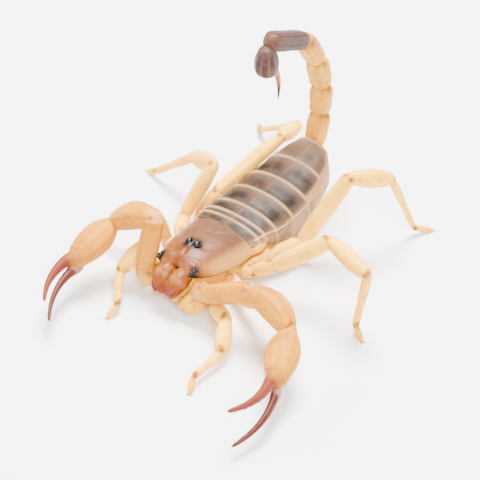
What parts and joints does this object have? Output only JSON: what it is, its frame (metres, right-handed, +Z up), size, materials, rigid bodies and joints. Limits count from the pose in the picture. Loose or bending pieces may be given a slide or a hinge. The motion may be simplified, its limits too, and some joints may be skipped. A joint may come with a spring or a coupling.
{
  "type": "desert scorpion model",
  "caption": "Life-size still model of a pale desert scorpion with its tail arched over its back and both pincers reaching forward.",
  "frame": {"origin": "on the floor below the middle of the model's box", "axes": "head towards -Y, tail towards +Y, the animal's left towards +X, +Z up from the floor that the feet stand on"},
  "size_m": [0.0544, 0.0664, 0.0367],
  "materials": {
    "carapace": "translucent orange-brown shell",
    "chelicera_finger_left": "dark red toothed claw",
    "chelicera_finger_right": "dark red toothed claw",
    "chelicera_left": "orange cuticle",
    "chelicera_right": "orange cuticle",
    "coxae_and_sternum": "pale cream-amber cuticle",
    "eye_median_left": "glossy black lens",
    "eye_median_right": "glossy black lens",
    "eyes_lateral_left": "glossy black lens",
    "eyes_lateral_right": "glossy black lens",
    "leg_left_1_lower": "pale cream-amber cuticle",
    "leg_left_1_patella": "pale cream-amber cuticle",
    "leg_left_1_upper": "pale cream-amber cuticle",
    "leg_left_2_lower": "pale cream-amber cuticle",
    "leg_left_2_patella": "pale cream-amber cuticle",
    "leg_left_2_upper": "pale cream-amber cuticle",
    "leg_left_3_lower": "pale cream-amber cuticle",
    "leg_left_3_patella": "pale cream-amber cuticle",
    "leg_left_3_upper": "pale cream-amber cuticle",
    "leg_left_4_lower": "pale cream-amber cuticle",
    "leg_left_4_patella": "pale cream-amber cuticle",
    "leg_left_4_upper": "pale cream-amber cuticle",
    "leg_right_1_lower": "pale cream-amber cuticle",
    "leg_right_1_patella": "pale cream-amber cuticle",
    "leg_right_1_upper": "pale cream-amber cuticle",
    "leg_right_2_lower": "pale cream-amber cuticle",
    "leg_right_2_patella": "pale cream-amber cuticle",
    "leg_right_2_upper": "pale cream-amber cuticle",
    "leg_right_3_lower": "pale cream-amber cuticle",
    "leg_right_3_patella": "pale cream-amber cuticle",
    "leg_right_3_upper": "pale cream-amber cuticle",
    "leg_right_4_lower": "pale cream-amber cuticle",
    "leg_right_4_patella": "pale cream-amber cuticle",
    "leg_right_4_upper": "pale cream-amber cuticle",
    "mesosoma_1": "translucent grey-brown shell plate",
    "mesosoma_2": "translucent grey-brown shell plate",
    "mesosoma_3": "translucent grey-brown shell plate",
    "mesosoma_4": "translucent grey-brown shell plate",
    "mesosoma_5": "translucent grey-brown shell plate",
    "mesosoma_6": "translucent grey-brown shell plate",
    "mesosoma_7": "translucent grey-brown shell plate",
    "pectine_left": "pale cream comb",
    "pectine_right": "pale cream comb",
    "pedipalp_left_femur": "peach cuticle",
    "pedipalp_left_hand": "peach cuticle",
    "pedipalp_left_movable_finger": "red-brown polished claw",
    "pedipalp_left_patella": "peach cuticle",
    "pedipalp_left_trochanter": "peach cuticle",
    "pedipalp_right_femur": "peach cuticle",
    "pedipalp_right_hand": "peach cuticle",
    "pedipalp_right_movable_finger": "red-brown polished claw",
    "pedipalp_right_patella": "peach cuticle",
    "pedipalp_right_trochanter": "peach cuticle",
    "sting": "polished black-brown thorn",
    "tail_1": "peach-yellow ridged cuticle",
    "tail_2": "peach-yellow ridged cuticle",
    "tail_3": "peach-yellow ridged cuticle",
    "tail_4": "peach-yellow ridged cuticle",
    "tail_5": "smoky mauve-brown cuticle",
    "vesicle": "smoky mauve-brown cuticle"
  },
  "bodies": {
    "root": {"carapace": "carapace", "chelicera_finger_left": "chelicera_finger_left", "chelicera_finger_right": "chelicera_finger_right", "chelicera_left": "chelicera_left", "chelicera_right": "chelicera_right", "coxae_and_sternum": "coxae_and_sternum", "eye_median_left": "eye_median_left", "eye_median_right": "eye_median_right", "eyes_lateral_left": "eyes_lateral_left", "eyes_lateral_right": "eyes_lateral_right", "leg_left_1_lower": "leg_left_1_lower", "leg_left_1_patella": "leg_left_1_patella", "leg_left_1_upper": "leg_left_1_upper", "leg_left_2_lower": "leg_left_2_lower", "leg_left_2_patella": "leg_left_2_patella", "leg_left_2_upper": "leg_left_2_upper", "leg_left_3_lower": "leg_left_3_lower", "leg_left_3_patella": "leg_left_3_patella", "leg_left_3_upper": "leg_left_3_upper", "leg_left_4_lower": "leg_left_4_lower", "leg_left_4_patella": "leg_left_4_patella", "leg_left_4_upper": "leg_left_4_upper", "leg_right_1_lower": "leg_right_1_lower", "leg_right_1_patella": "leg_right_1_patella", "leg_right_1_upper": "leg_right_1_upper", "leg_right_2_lower": "leg_right_2_lower", "leg_right_2_patella": "leg_right_2_patella", "leg_right_2_upper": "leg_right_2_upper", "leg_right_3_lower": "leg_right_3_lower", "leg_right_3_patella": "leg_right_3_patella", "leg_right_3_upper": "leg_right_3_upper", "leg_right_4_lower": "leg_right_4_lower", "leg_right_4_patella": "leg_right_4_patella", "leg_right_4_upper": "leg_right_4_upper", "mesosoma_1": "mesosoma_1", "mesosoma_2": "mesosoma_2", "mesosoma_3": "mesosoma_3", "mesosoma_4": "mesosoma_4", "mesosoma_5": "mesosoma_5", "mesosoma_6": "mesosoma_6", "mesosoma_7": "mesosoma_7", "pectine_left": "pectine_left", "pectine_right": "pectine_right", "pedipalp_left_femur": "pedipalp_left_femur", "pedipalp_left_hand": "pedipalp_left_hand", "pedipalp_left_movable_finger": "pedipalp_left_movable_finger", "pedipalp_left_patella": "pedipalp_left_patella", "pedipalp_left_trochanter": "pedipalp_left_trochanter", "pedipalp_right_femur": "pedipalp_right_femur", "pedipalp_right_hand": "pedipalp_right_hand", "pedipalp_right_movable_finger": "pedipalp_right_movable_finger", "pedipalp_right_patella": "pedipalp_right_patella", "pedipalp_right_trochanter": "pedipalp_right_trochanter", "sting": "sting", "tail_1": "tail_1", "tail_2": "tail_2", "tail_3": "tail_3", "tail_4": "tail_4", "tail_5": "tail_5", "vesicle": "vesicle"}
  },
  "joints": []
}
